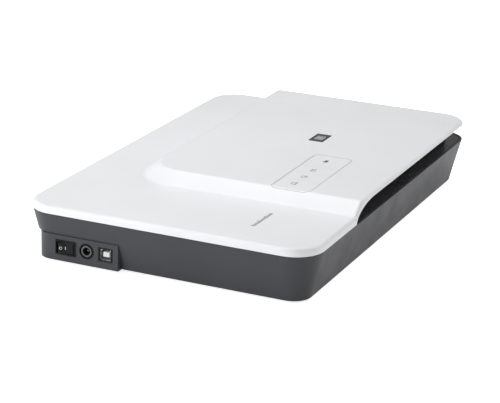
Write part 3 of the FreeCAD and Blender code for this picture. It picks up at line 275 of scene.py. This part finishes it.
MATERIALS = {
    "casing_grey": moulded(
        "casing_grey_moulded", CASING_GREY, 0.36, grain=1900.0, depth=0.00006, Specular_IOR_Level=0.24
    ),
    "bezel_black": moulded("bezel_black_moulded", BLACK, 0.3, grain=2400.0, depth=0.00002),
    "lid_white": lid_plastic("lid_silver_white", LID_WHITE, (0.34, 0.345, 0.35)),
    "platen_glass": clear_glass("platen_glass_clear"),
    "strip_white": moulded("strip_white_matte", (0.86, 0.86, 0.84), 0.8),
    "rubber_black": moulded("rubber_black_matte", (0.018, 0.018, 0.018), 0.75, grain=1200.0, depth=0.0001),
    "screw_steel": metal("screw_zinc", (0.52, 0.53, 0.55), 0.35),
    "socket_black": moulded("socket_black_satin", (0.006, 0.006, 0.006), 0.5, Specular_IOR_Level=0.2),
    "rocker_black": moulded(
        "rocker_black_satin", (0.008, 0.008, 0.009), 0.4, depth=0.00001, Specular_IOR_Level=0.2
    ),
    # the contacts are painted far darker than bare nickel: painted shade for their place deep in the
    # socket hole
    "contact_metal": metal("contact_nickel_painted_shade", (0.14, 0.14, 0.145), 0.5),
    "shell_metal": usb_metal("socket_shell_nickel"),
    "board_green": circuit_board("circuit_board_green"),
    "component_black": moulded("component_epoxy", (0.022, 0.022, 0.023), 0.5),
    "ribbon_white": ribbon_film("ribbon_film_white"),
    "rod_steel": metal("rod_ground_steel", (0.62, 0.63, 0.65), 0.2, brushed=(2.0, 60.0, 60.0)),
    "sheet_steel": metal("sheet_zinc", (0.50, 0.51, 0.53), 0.4, brushed=(6.0, 6.0, 6.0)),
    "brass_gear": metal("brass_turned", (0.72, 0.54, 0.24), 0.3, brushed=(10.0, 10.0, 60.0)),
    "belt_rubber": moulded("belt_rubber_matte", (0.016, 0.016, 0.017), 0.7, grain=1500.0, depth=0.0001),
    "bearing_white": moulded("acetal_natural", (0.72, 0.71, 0.66), 0.45),
    "inner_black": moulded("carriage_black", (0.022, 0.022, 0.024), 0.55, grain=1400.0, depth=0.00008),
    "lamp_white": moulded(
        "lamp_phosphor", (0.92, 0.92, 0.88), 0.25, Coat_Weight=1.0, Coat_Roughness=0.05
    ),
    "reflector_bright": metal("reflector_bright_foil", (0.9, 0.9, 0.91), 0.18),
    "mirror_glass": silver_mirror("mirror_silvered"),
    "lens_black": metal("lens_anodised", (0.05, 0.05, 0.052), 0.4, brushed=(40.0, 2.0, 2.0)),
    "pan_dark": moulded("lid_pan_black", (0.016, 0.016, 0.017), 0.5, grain=1500.0, depth=0.00006),
    "badge_dark": moulded("badge_dark_gloss", (0.030, 0.031, 0.033), 0.22, depth=0.00001),
    "light_panel": moulded("light_panel_opal", (0.90, 0.91, 0.92), 0.3, Coat_Weight=0.3),
    "mat_backing": moulded("mat_backing_grey", (0.55, 0.56, 0.57), 0.5),
    "mat_white": foam_sheet("mat_foam_white", (0.88, 0.88, 0.86)),
}

CAD_SMOOTH_ANGLE = math.radians(28)


def finish_cad_nodes():
    """Gives every CAD node its material, and smooth shading across its curved faces."""
    for name, node in NODES.items():
        node.data.materials.clear()
        node.data.materials.append(MATERIALS[SLOT_OF[name]])
        node.data.shade_smooth()
        node.data.set_sharp_from_angle(angle=CAD_SMOOTH_ANGLE)


# ---------------------------------------------------------------- mesh helpers
def new_piece(name, bm, material, body, smooth_angle=None):
    """Object from a closed mesh. Without a body it rides on nothing."""
    bmesh.ops.recalc_face_normals(bm, faces=bm.faces)
    mesh = bpy.data.meshes.new(name)
    bm.to_mesh(mesh)
    bm.free()
    if smooth_angle:
        mesh.shade_smooth()
        mesh.set_sharp_from_angle(angle=math.radians(smooth_angle))
    piece = bpy.data.objects.new(name, mesh)
    bpy.context.scene.collection.objects.link(piece)
    mesh.materials.append(material)
    if body:
        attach(piece, body)
    return piece


def join_rings(bm, here, there):
    """Faces between two closed rings with the same number of vertices."""
    count = len(here)
    for i in range(count):
        j = (i + 1) % count
        bm.faces.new((here[i], here[j], there[j], there[i]))


def add_plate(bm, outline, low, high):
    """Closed plate from a flat outline of (x, y) points, between two heights."""
    bottom = [bm.verts.new((x, y, low)) for x, y in outline]
    top = [bm.verts.new((x, y, high)) for x, y in outline]
    bm.faces.new(list(reversed(bottom)))
    bm.faces.new(top)
    join_rings(bm, bottom, top)


def add_frame(bm, outer, inner, low, high):
    """Closed ring between two outlines with the same number of points."""
    rings = []
    for outline, z in ((outer, low), (outer, high), (inner, high), (inner, low)):
        rings.append([bm.verts.new((x, y, z)) for x, y in outline])
    for here, there in zip(rings, rings[1:] + rings[:1]):
        join_rings(bm, here, there)


def rounded_outline(cx, cy, half_x, half_y, radius, steps=6):
    points = []
    for corner in range(4):
        angle0 = math.pi / 2 * corner
        sx = 1 if corner in (0, 3) else -1
        sy = 1 if corner in (0, 1) else -1
        for step in range(steps + 1):
            angle = angle0 + math.pi / 2 * step / steps
            points.append((
                cx + sx * (half_x - radius) + radius * math.cos(angle),
                cy + sy * (half_y - radius) + radius * math.sin(angle),
            ))
    return points


def bar_outline(cx, cy, length, width, turn=0.0):
    along = Vector((math.cos(turn), math.sin(turn))) * (length / 2)
    across = Vector((-math.sin(turn), math.cos(turn))) * (width / 2)
    middle = Vector((cx, cy))
    corners = ((-1, -1), (1, -1), (1, 1), (-1, 1))
    return [tuple(middle + along * sx + across * sy) for sx, sy in corners]


def frame_outlines(cx, cy, half_x, half_y, radius, line):
    """Outer and inner outline of a rounded rectangle drawn with a line of that width."""
    outer = rounded_outline(cx, cy, half_x, half_y, radius)
    inner = rounded_outline(cx, cy, half_x - line, half_y - line, max(radius - line, line / 4))
    return outer, inner


# ---------------------------------------------------------------- printed marks
PRINT_T = 0.00004
KEY_TOP = 0.0699
LOW_TOP = 0.0577
BADGE_TOP = 0.06995


def printed(name, material, body, low, plates=(), frames=()):
    """One thin printed mark made of flat plates and rings."""
    bm = bmesh.new()
    for outline in plates:
        add_plate(bm, outline, low - PRINT_T / 4, low + PRINT_T)
    for outer, inner in frames:
        add_frame(bm, outer, inner, low - PRINT_T / 4, low + PRINT_T)
    new_piece(name, bm, material, body)


ICON_Y = -0.073
ICON_LINE = 0.00055
ICON_CORNER = 0.0004
FLAP = math.atan2(0.0022, 0.0034)
# for each key: the middle's x, its bars (dx, dy, length, width, turn) and its frame (dx, dy, half sizes)
LINE_ICONS = {
    "scan": (-0.0843, ((0.0, -0.0017, 0.0088, ICON_LINE, 0.0),), (0.0, 0.0012, 0.0033, 0.0020)),
    "copy": (
        -0.0603,
        ((0.0008, -0.0026, 0.0046, ICON_LINE, 0.0), (0.0030, -0.0007, ICON_LINE, 0.0044, 0.0)),
        (-0.0006, 0.0006, 0.0026, 0.0022),
    ),
    "mail": (
        -0.0371,
        ((-0.0018, 0.0008, 0.0036, ICON_LINE, -FLAP), (0.0018, 0.0008, 0.0036, ICON_LINE, FLAP)),
        (0.0, 0.0, 0.0038, 0.0023),
    ),
}
FILE_X = -0.0035
FOLDER = (0.0, -0.0003, 0.0034, 0.0018)
FOLDER_CORNER = 0.0005
FOLDER_TAB = (-0.0018, 0.0019, 0.0028, 0.0009)


def make_key_icons(ink):
    """Generic symbols: sheet over a scan bar, two sheets, envelope, folder."""
    for key, (x, bars, (dx, dy, half_x, half_y)) in LINE_ICONS.items():
        plates = [bar_outline(x + bx, ICON_Y + by, *rest) for bx, by, *rest in bars]
        outlines = frame_outlines(x + dx, ICON_Y + dy, half_x, half_y, ICON_CORNER, ICON_LINE)
        printed("icon_" + key, ink, "key_" + key, KEY_TOP, plates=plates, frames=[outlines])
    dx, dy, half_x, half_y = FOLDER
    folder = rounded_outline(FILE_X + dx, ICON_Y + dy, half_x, half_y, FOLDER_CORNER)
    dx, dy, length, width = FOLDER_TAB
    tab = bar_outline(FILE_X + dx, ICON_Y + dy, length, width)
    printed("icon_file", ink, "key_file", KEY_TOP, plates=[folder, tab])


BADGE_AT = (0.070, -0.03625)
GLYPH_HALF = (0.0062, 0.0044)
GLYPH_CORNER = 0.0008
GLYPH_OUTLINE = 0.0008
GLYPH_LINE = (0.0078, 0.0010)
GLYPH_PITCH = 0.0020


def make_badge_glyph(paint):
    """Generic symbol on the badge: a sheet outline with three lines on it."""
    x, y = BADGE_AT
    lines = [bar_outline(x, y + row * GLYPH_PITCH, *GLYPH_LINE) for row in (-1, 0, 1)]
    outline = frame_outlines(x, y, *GLYPH_HALF, GLYPH_CORNER, GLYPH_OUTLINE)
    printed("badge_glyph", paint, "lid", BADGE_TOP, plates=lines, frames=[outline])


TICKS_FROM = Vector((-0.1847, -0.0760))
TICKS_TO = Vector((-0.1456, -0.0770))
TICK_COUNT = 15
TICK_GROUP = 5
TICK_WIDTH = 0.0015
TICK_TALL = 0.0044
TICK_SHORT = 0.0032


def make_tick_row(ink):
    """Small graduated row printed on the low part of the lid."""
    run = TICKS_TO - TICKS_FROM
    turn = math.atan2(run.y, run.x)
    across = Vector((-run.y, run.x)).normalized()
    bars = []
    for i in range(TICK_COUNT):
        tall = TICK_SHORT if i % TICK_GROUP else TICK_TALL
        middle = TICKS_FROM + run * (i / (TICK_COUNT - 1)) + across * (tall / 2)
        bars.append(bar_outline(middle.x, middle.y, TICK_WIDTH, tall, turn))
    printed("lid_tick_row", ink, "lid", LOW_TOP, plates=bars)


# ---------------------------------------------------------------- power switch marks
ROCKER_PIVOT = Vector((-0.2195, 0.1051, 0.0166))
ROCKER_FACE = 0.0046
ROCKER_TILT = math.radians(12.0)
RING_AT = 0.0055
RING_RADII = (0.0015, 0.0010)
BAR_AT = 0.0008
BAR_SIZE = (0.0007, 0.0030)


def make_rocker_marks(paint):
    """O and I on the rear half of the rocker, laid on its sloping face."""
    bm = bmesh.new()
    ring, hole = [rounded_outline(RING_AT, 0, radius, radius, radius) for radius in RING_RADII]
    add_frame(bm, ring, hole, -PRINT_T, PRINT_T / 4)
    add_plate(bm, bar_outline(BAR_AT, 0, *BAR_SIZE), -PRINT_T, PRINT_T / 4)
    # local X runs along the face towards the rear, local Y is up, local Z points into the rocker
    along = Vector((-math.sin(ROCKER_TILT), math.cos(ROCKER_TILT), 0))
    up = Vector((0, 0, 1))
    inward = along.cross(up)
    place = Matrix((along, up, inward)).transposed().to_4x4()
    rest = Matrix.Rotation(ROCKER_TILT, 4, "Z")
    crest = Matrix.Translation((-ROCKER_FACE, 0, 0))
    bm.transform(Matrix.Translation(ROCKER_PIVOT) @ rest @ crest @ place)
    new_piece("switch_marks", bm, paint, "switch_rocker")


# ---------------------------------------------------------------- document mat
MAT_X = (-0.102, 0.196)
MAT_Y = (-0.1295, 0.0935)
MAT_Z = (0.0498, 0.0524)
MAT_CORNER = 0.004
MAT_CORNER_STEPS = 8
MAT_ROLL = 0.0009
MAT_ROLL_STEPS = 6
MAT_FACE_SHARE = (0.96, 0.95)
MAT_SMOOTH_ANGLE = 35


def make_foam_mat():
    """White foam sheet under the lid, with soft rolled edges."""
    half_x, half_y = (MAT_X[1] - MAT_X[0]) / 2, (MAT_Y[1] - MAT_Y[0]) / 2
    cx, cy = sum(MAT_X) / 2, sum(MAT_Y) / 2
    low, high = MAT_Z
    bm = bmesh.new()
    rings = []
    for step in range(MAT_ROLL_STEPS + 1):
        angle = -math.pi / 2 + math.pi * step / MAT_ROLL_STEPS
        inset = MAT_ROLL * (1 - math.cos(angle))
        z = (low + high) / 2 + (high - low) / 2 * math.sin(angle)
        outline = rounded_outline(cx, cy, half_x - inset, half_y - inset, MAT_CORNER, MAT_CORNER_STEPS)
        rings.append([bm.verts.new((x, y, z)) for x, y in outline])
    for lower, upper in zip(rings[:-1], rings[1:]):
        join_rings(bm, lower, upper)
    share_x, share_y = MAT_FACE_SHARE
    for ring, z in ((rings[0], low), (rings[-1], high)):
        face = []
        for vertex in ring:
            face.append(bm.verts.new((
                cx + (vertex.co.x - cx) * share_x,
                cy + (vertex.co.y - cy) * share_y,
                z,
            )))
        join_rings(bm, ring, face)
        bm.faces.new(face)
    piece = new_piece("foam_mat", bm, MATERIALS["mat_white"], "document_mat", MAT_SMOOTH_ANGLE)
    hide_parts("mat_foam")


# ---------------------------------------------------------------- flat cable
RIBBON_Y = (0.062, 0.080)
RIBBON_T = 0.0003
RIBBON_LOW = 0.0052
RIBBON_HIGH = 0.0129
RIBBON_BEND_X = 0.051
RIBBON_END_X = -0.118
RIBBON_SMOOTH_ANGLE = 40
PLUG_TO_FLOOR = (
    (-0.1755, 0.0110),
    (-0.1735, 0.0109),
    (-0.1715, 0.0100),
    (-0.1690, 0.0082),
    (-0.1665, 0.0062),
)
FLOOR_FROM_X = -0.1650
EVEN_FROM_X = -0.1600
RISE_TOP = 0.0152
LOOP_STEP = 12


def ribbon_strip(name, path, body=None):
    """Flat cable along a path of (x, z) points on its middle line, with real thickness."""
    bm = bmesh.new()
    near, far = RIBBON_Y
    sections = []
    for i, (x, z) in enumerate(path):
        before, after = path[max(i - 1, 0)], path[min(i + 1, len(path) - 1)]
        tangent = Vector((after[0] - before[0], after[1] - before[1])).normalized()
        nx, nz = -tangent.y * RIBBON_T / 2, tangent.x * RIBBON_T / 2
        corners = ((-1, near), (-1, far), (1, far), (1, near))
        sections.append([bm.verts.new((x + side * nx, y, z + side * nz)) for side, y in corners])
    for here, there in zip(sections[:-1], sections[1:]):
        join_rings(bm, here, there)
    bm.faces.new(sections[0])
    bm.faces.new(sections[-1])
    return new_piece(name, bm, MATERIALS["ribbon_white"], body, RIBBON_SMOOTH_ANGLE)


def spaced(start, end, count):
    return [start + (end - start) * i / count for i in range(count + 1)]


def make_ribbon():
    """Flat cable in four lengths: the upper run rides on the base and the rise on the carriage."""
    low = RIBBON_LOW + RIBBON_T / 2
    high = RIBBON_HIGH - RIBBON_T / 2
    radius = (high - low) / 2
    middle = (high + low) / 2
    path = [*PLUG_TO_FLOOR, (FLOOR_FROM_X, low)]
    path += [(x, low) for x in spaced(EVEN_FROM_X, RIBBON_BEND_X, 40)]
    lower = ribbon_strip("ribbon_lower_run", path)
    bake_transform(lower)
    path = []
    for degrees in range(-90, 91, LOOP_STEP):
        angle = math.radians(degrees)
        path.append((RIBBON_BEND_X + radius * math.cos(angle), middle + radius * math.sin(angle)))
    bend = ribbon_strip("ribbon_loop", path)
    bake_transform(bend)
    path = [(x, high) for x in spaced(RIBBON_END_X, RIBBON_BEND_X, 30)]
    upper = ribbon_strip("ribbon_upper_run", path, "base")
    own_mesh(upper)
    path = [(RIBBON_END_X + RIBBON_T / 2, z) for z in spaced(high, RISE_TOP, 4)]
    rise = ribbon_strip("ribbon_rise", path, "carriage")
    for piece in (lower, bend, upper, rise):
        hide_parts("carriage_ribbon")


# ---------------------------------------------------------------- camera
CAMERA_AZIMUTH = math.radians(-66.05)
CAMERA_ELEVATION = math.radians(18.875)
CAMERA_ROLL = math.radians(1.5225)
CAMERA_DISTANCE = 1.8613
CAMERA_TARGET = Vector((-0.0553, -0.0126, 0.0325))
CAMERA_LENS = 132.38
CAMERA_REACH = 50.0


def direction(azimuth, elevation):
    """Unit vector from the object towards a viewer at that azimuth and elevation."""
    level = math.cos(elevation)
    return Vector((math.sin(azimuth) * level, -math.cos(azimuth) * level, math.sin(elevation)))


def make_camera():
    data = bpy.data.cameras.new("camera")
    data.lens = CAMERA_LENS
    data.clip_end = CAMERA_REACH
    camera = bpy.data.objects.new("camera", data)
    bpy.context.scene.collection.objects.link(camera)
    back = direction(CAMERA_AZIMUTH, CAMERA_ELEVATION)
    camera.location = CAMERA_TARGET + back * CAMERA_DISTANCE
    camera.rotation_mode = "QUATERNION"
    camera.rotation_quaternion = (-back).to_track_quat("-Z", "Y") @ Quaternion((0, 0, 1), CAMERA_ROLL)
    bpy.context.scene.camera = camera


# ---------------------------------------------------------------- light and floor
WHITE = (1.0, 1.0, 1.0, 1.0)
WORLD_LEVEL = 0.33
WORLD_TO_CAMERA = 1.1
FLOOR_LEVEL = 0.21
FLOOR_TO_CAMERA = 0.8
FLOOR_HALF = 8.0
FLOOR_Z = -0.0002
# name: azimuth and elevation in degrees, distance, diameter, watts
LIGHTS = {
    "rear_left_light": (-145.0, 10.0, 2.5, 1.0, 21.0),
    "left_light": (-115.0, 12.0, 2.0, 1.0, 5.0),
    "high_left_light": (-115.0, 35.0, 1.5, 0.8, 3.7),
    "right_light": (40.0, 35.0, 2.5, 1.2, 18.0),
    "high_right_light": (120.0, 40.0, 2.0, 1.0, 1.6),
    "rear_top_light": (180.0, 75.0, 1.0, 0.6, 2.9),
    "left_top_light": (-135.0, 75.0, 1.0, 0.6, 1.1),
}


def make_light(name, azimuth, elevation, distance, diameter, watts):
    """Round soft box that faces the origin."""
    data = bpy.data.lights.new(name, "AREA")
    data.shape = "DISK"
    data.size = diameter
    data.energy = watts
    light = bpy.data.objects.new(name, data)
    bpy.context.scene.collection.objects.link(light)
    back = direction(math.radians(azimuth), math.radians(elevation))
    light.location = back * distance
    light.rotation_mode = "QUATERNION"
    light.rotation_quaternion = (-back).to_track_quat("-Z", "Y")


def seen_by_camera(nodes, links, others, camera):
    """A level that differs between camera rays and all other rays."""
    path = nodes.new("ShaderNodeLightPath")
    level = nodes.new("ShaderNodeMapRange")
    level.inputs["To Min"].default_value = others
    level.inputs["To Max"].default_value = camera
    links.new(path.outputs["Is Camera Ray"], level.inputs["Value"])
    return level.outputs["Result"]


def make_world():
    """White to the camera, faint to everything else, so that the lamps shape the object."""
    world = bpy.data.worlds.new("studio")
    bpy.context.scene.world = world
    world.use_nodes = True
    nodes, links = world.node_tree.nodes, world.node_tree.links
    background = nodes["Background"]
    background.inputs["Color"].default_value = WHITE
    links.new(seen_by_camera(nodes, links, WORLD_LEVEL, WORLD_TO_CAMERA), background.inputs["Strength"])


def make_floor():
    """Pale floor that fades into the white around it."""
    bm = bmesh.new()
    bmesh.ops.create_grid(bm, x_segments=1, y_segments=1, size=FLOOR_HALF)
    mesh = bpy.data.meshes.new("floor")
    bm.to_mesh(mesh)
    bm.free()
    floor = bpy.data.objects.new("floor", mesh)
    floor.location.z = FLOOR_Z
    bpy.context.scene.collection.objects.link(floor)
    tree = Tree("floor_pale")
    clouds = tree.noise(scale=3.0, detail=2.0)
    tree.wire(tree.ramp(clouds, (0.93, 0.93, 0.93), (0.95, 0.95, 0.95)), "Base Color")
    tree.set(Roughness=0.9, Specular_IOR_Level=0.1, Emission_Color=WHITE)
    tree.wire(seen_by_camera(tree.nodes, tree.links, FLOOR_LEVEL, FLOOR_TO_CAMERA), "Emission Strength")
    mesh.materials.append(tree.material)


# ---------------------------------------------------------------- the scene
bpy.context.scene.view_settings.view_transform = "Standard"
make_camera()
make_world()
for light_name, light_values in LIGHTS.items():
    make_light(light_name, *light_values)
make_floor()
finish_cad_nodes()
PRINT_INK = moulded("print_grey_ink", (0.09, 0.093, 0.10), 0.5, grain=4000.0, depth=0.000005)
PRINT_WHITE = moulded("print_white_ink", (0.62, 0.63, 0.64), 0.45, grain=4000.0, depth=0.000005)
make_key_icons(PRINT_INK)
make_badge_glyph(PRINT_WHITE)
make_tick_row(PRINT_INK)
make_rocker_marks(PRINT_WHITE)
make_foam_mat()
make_ribbon()
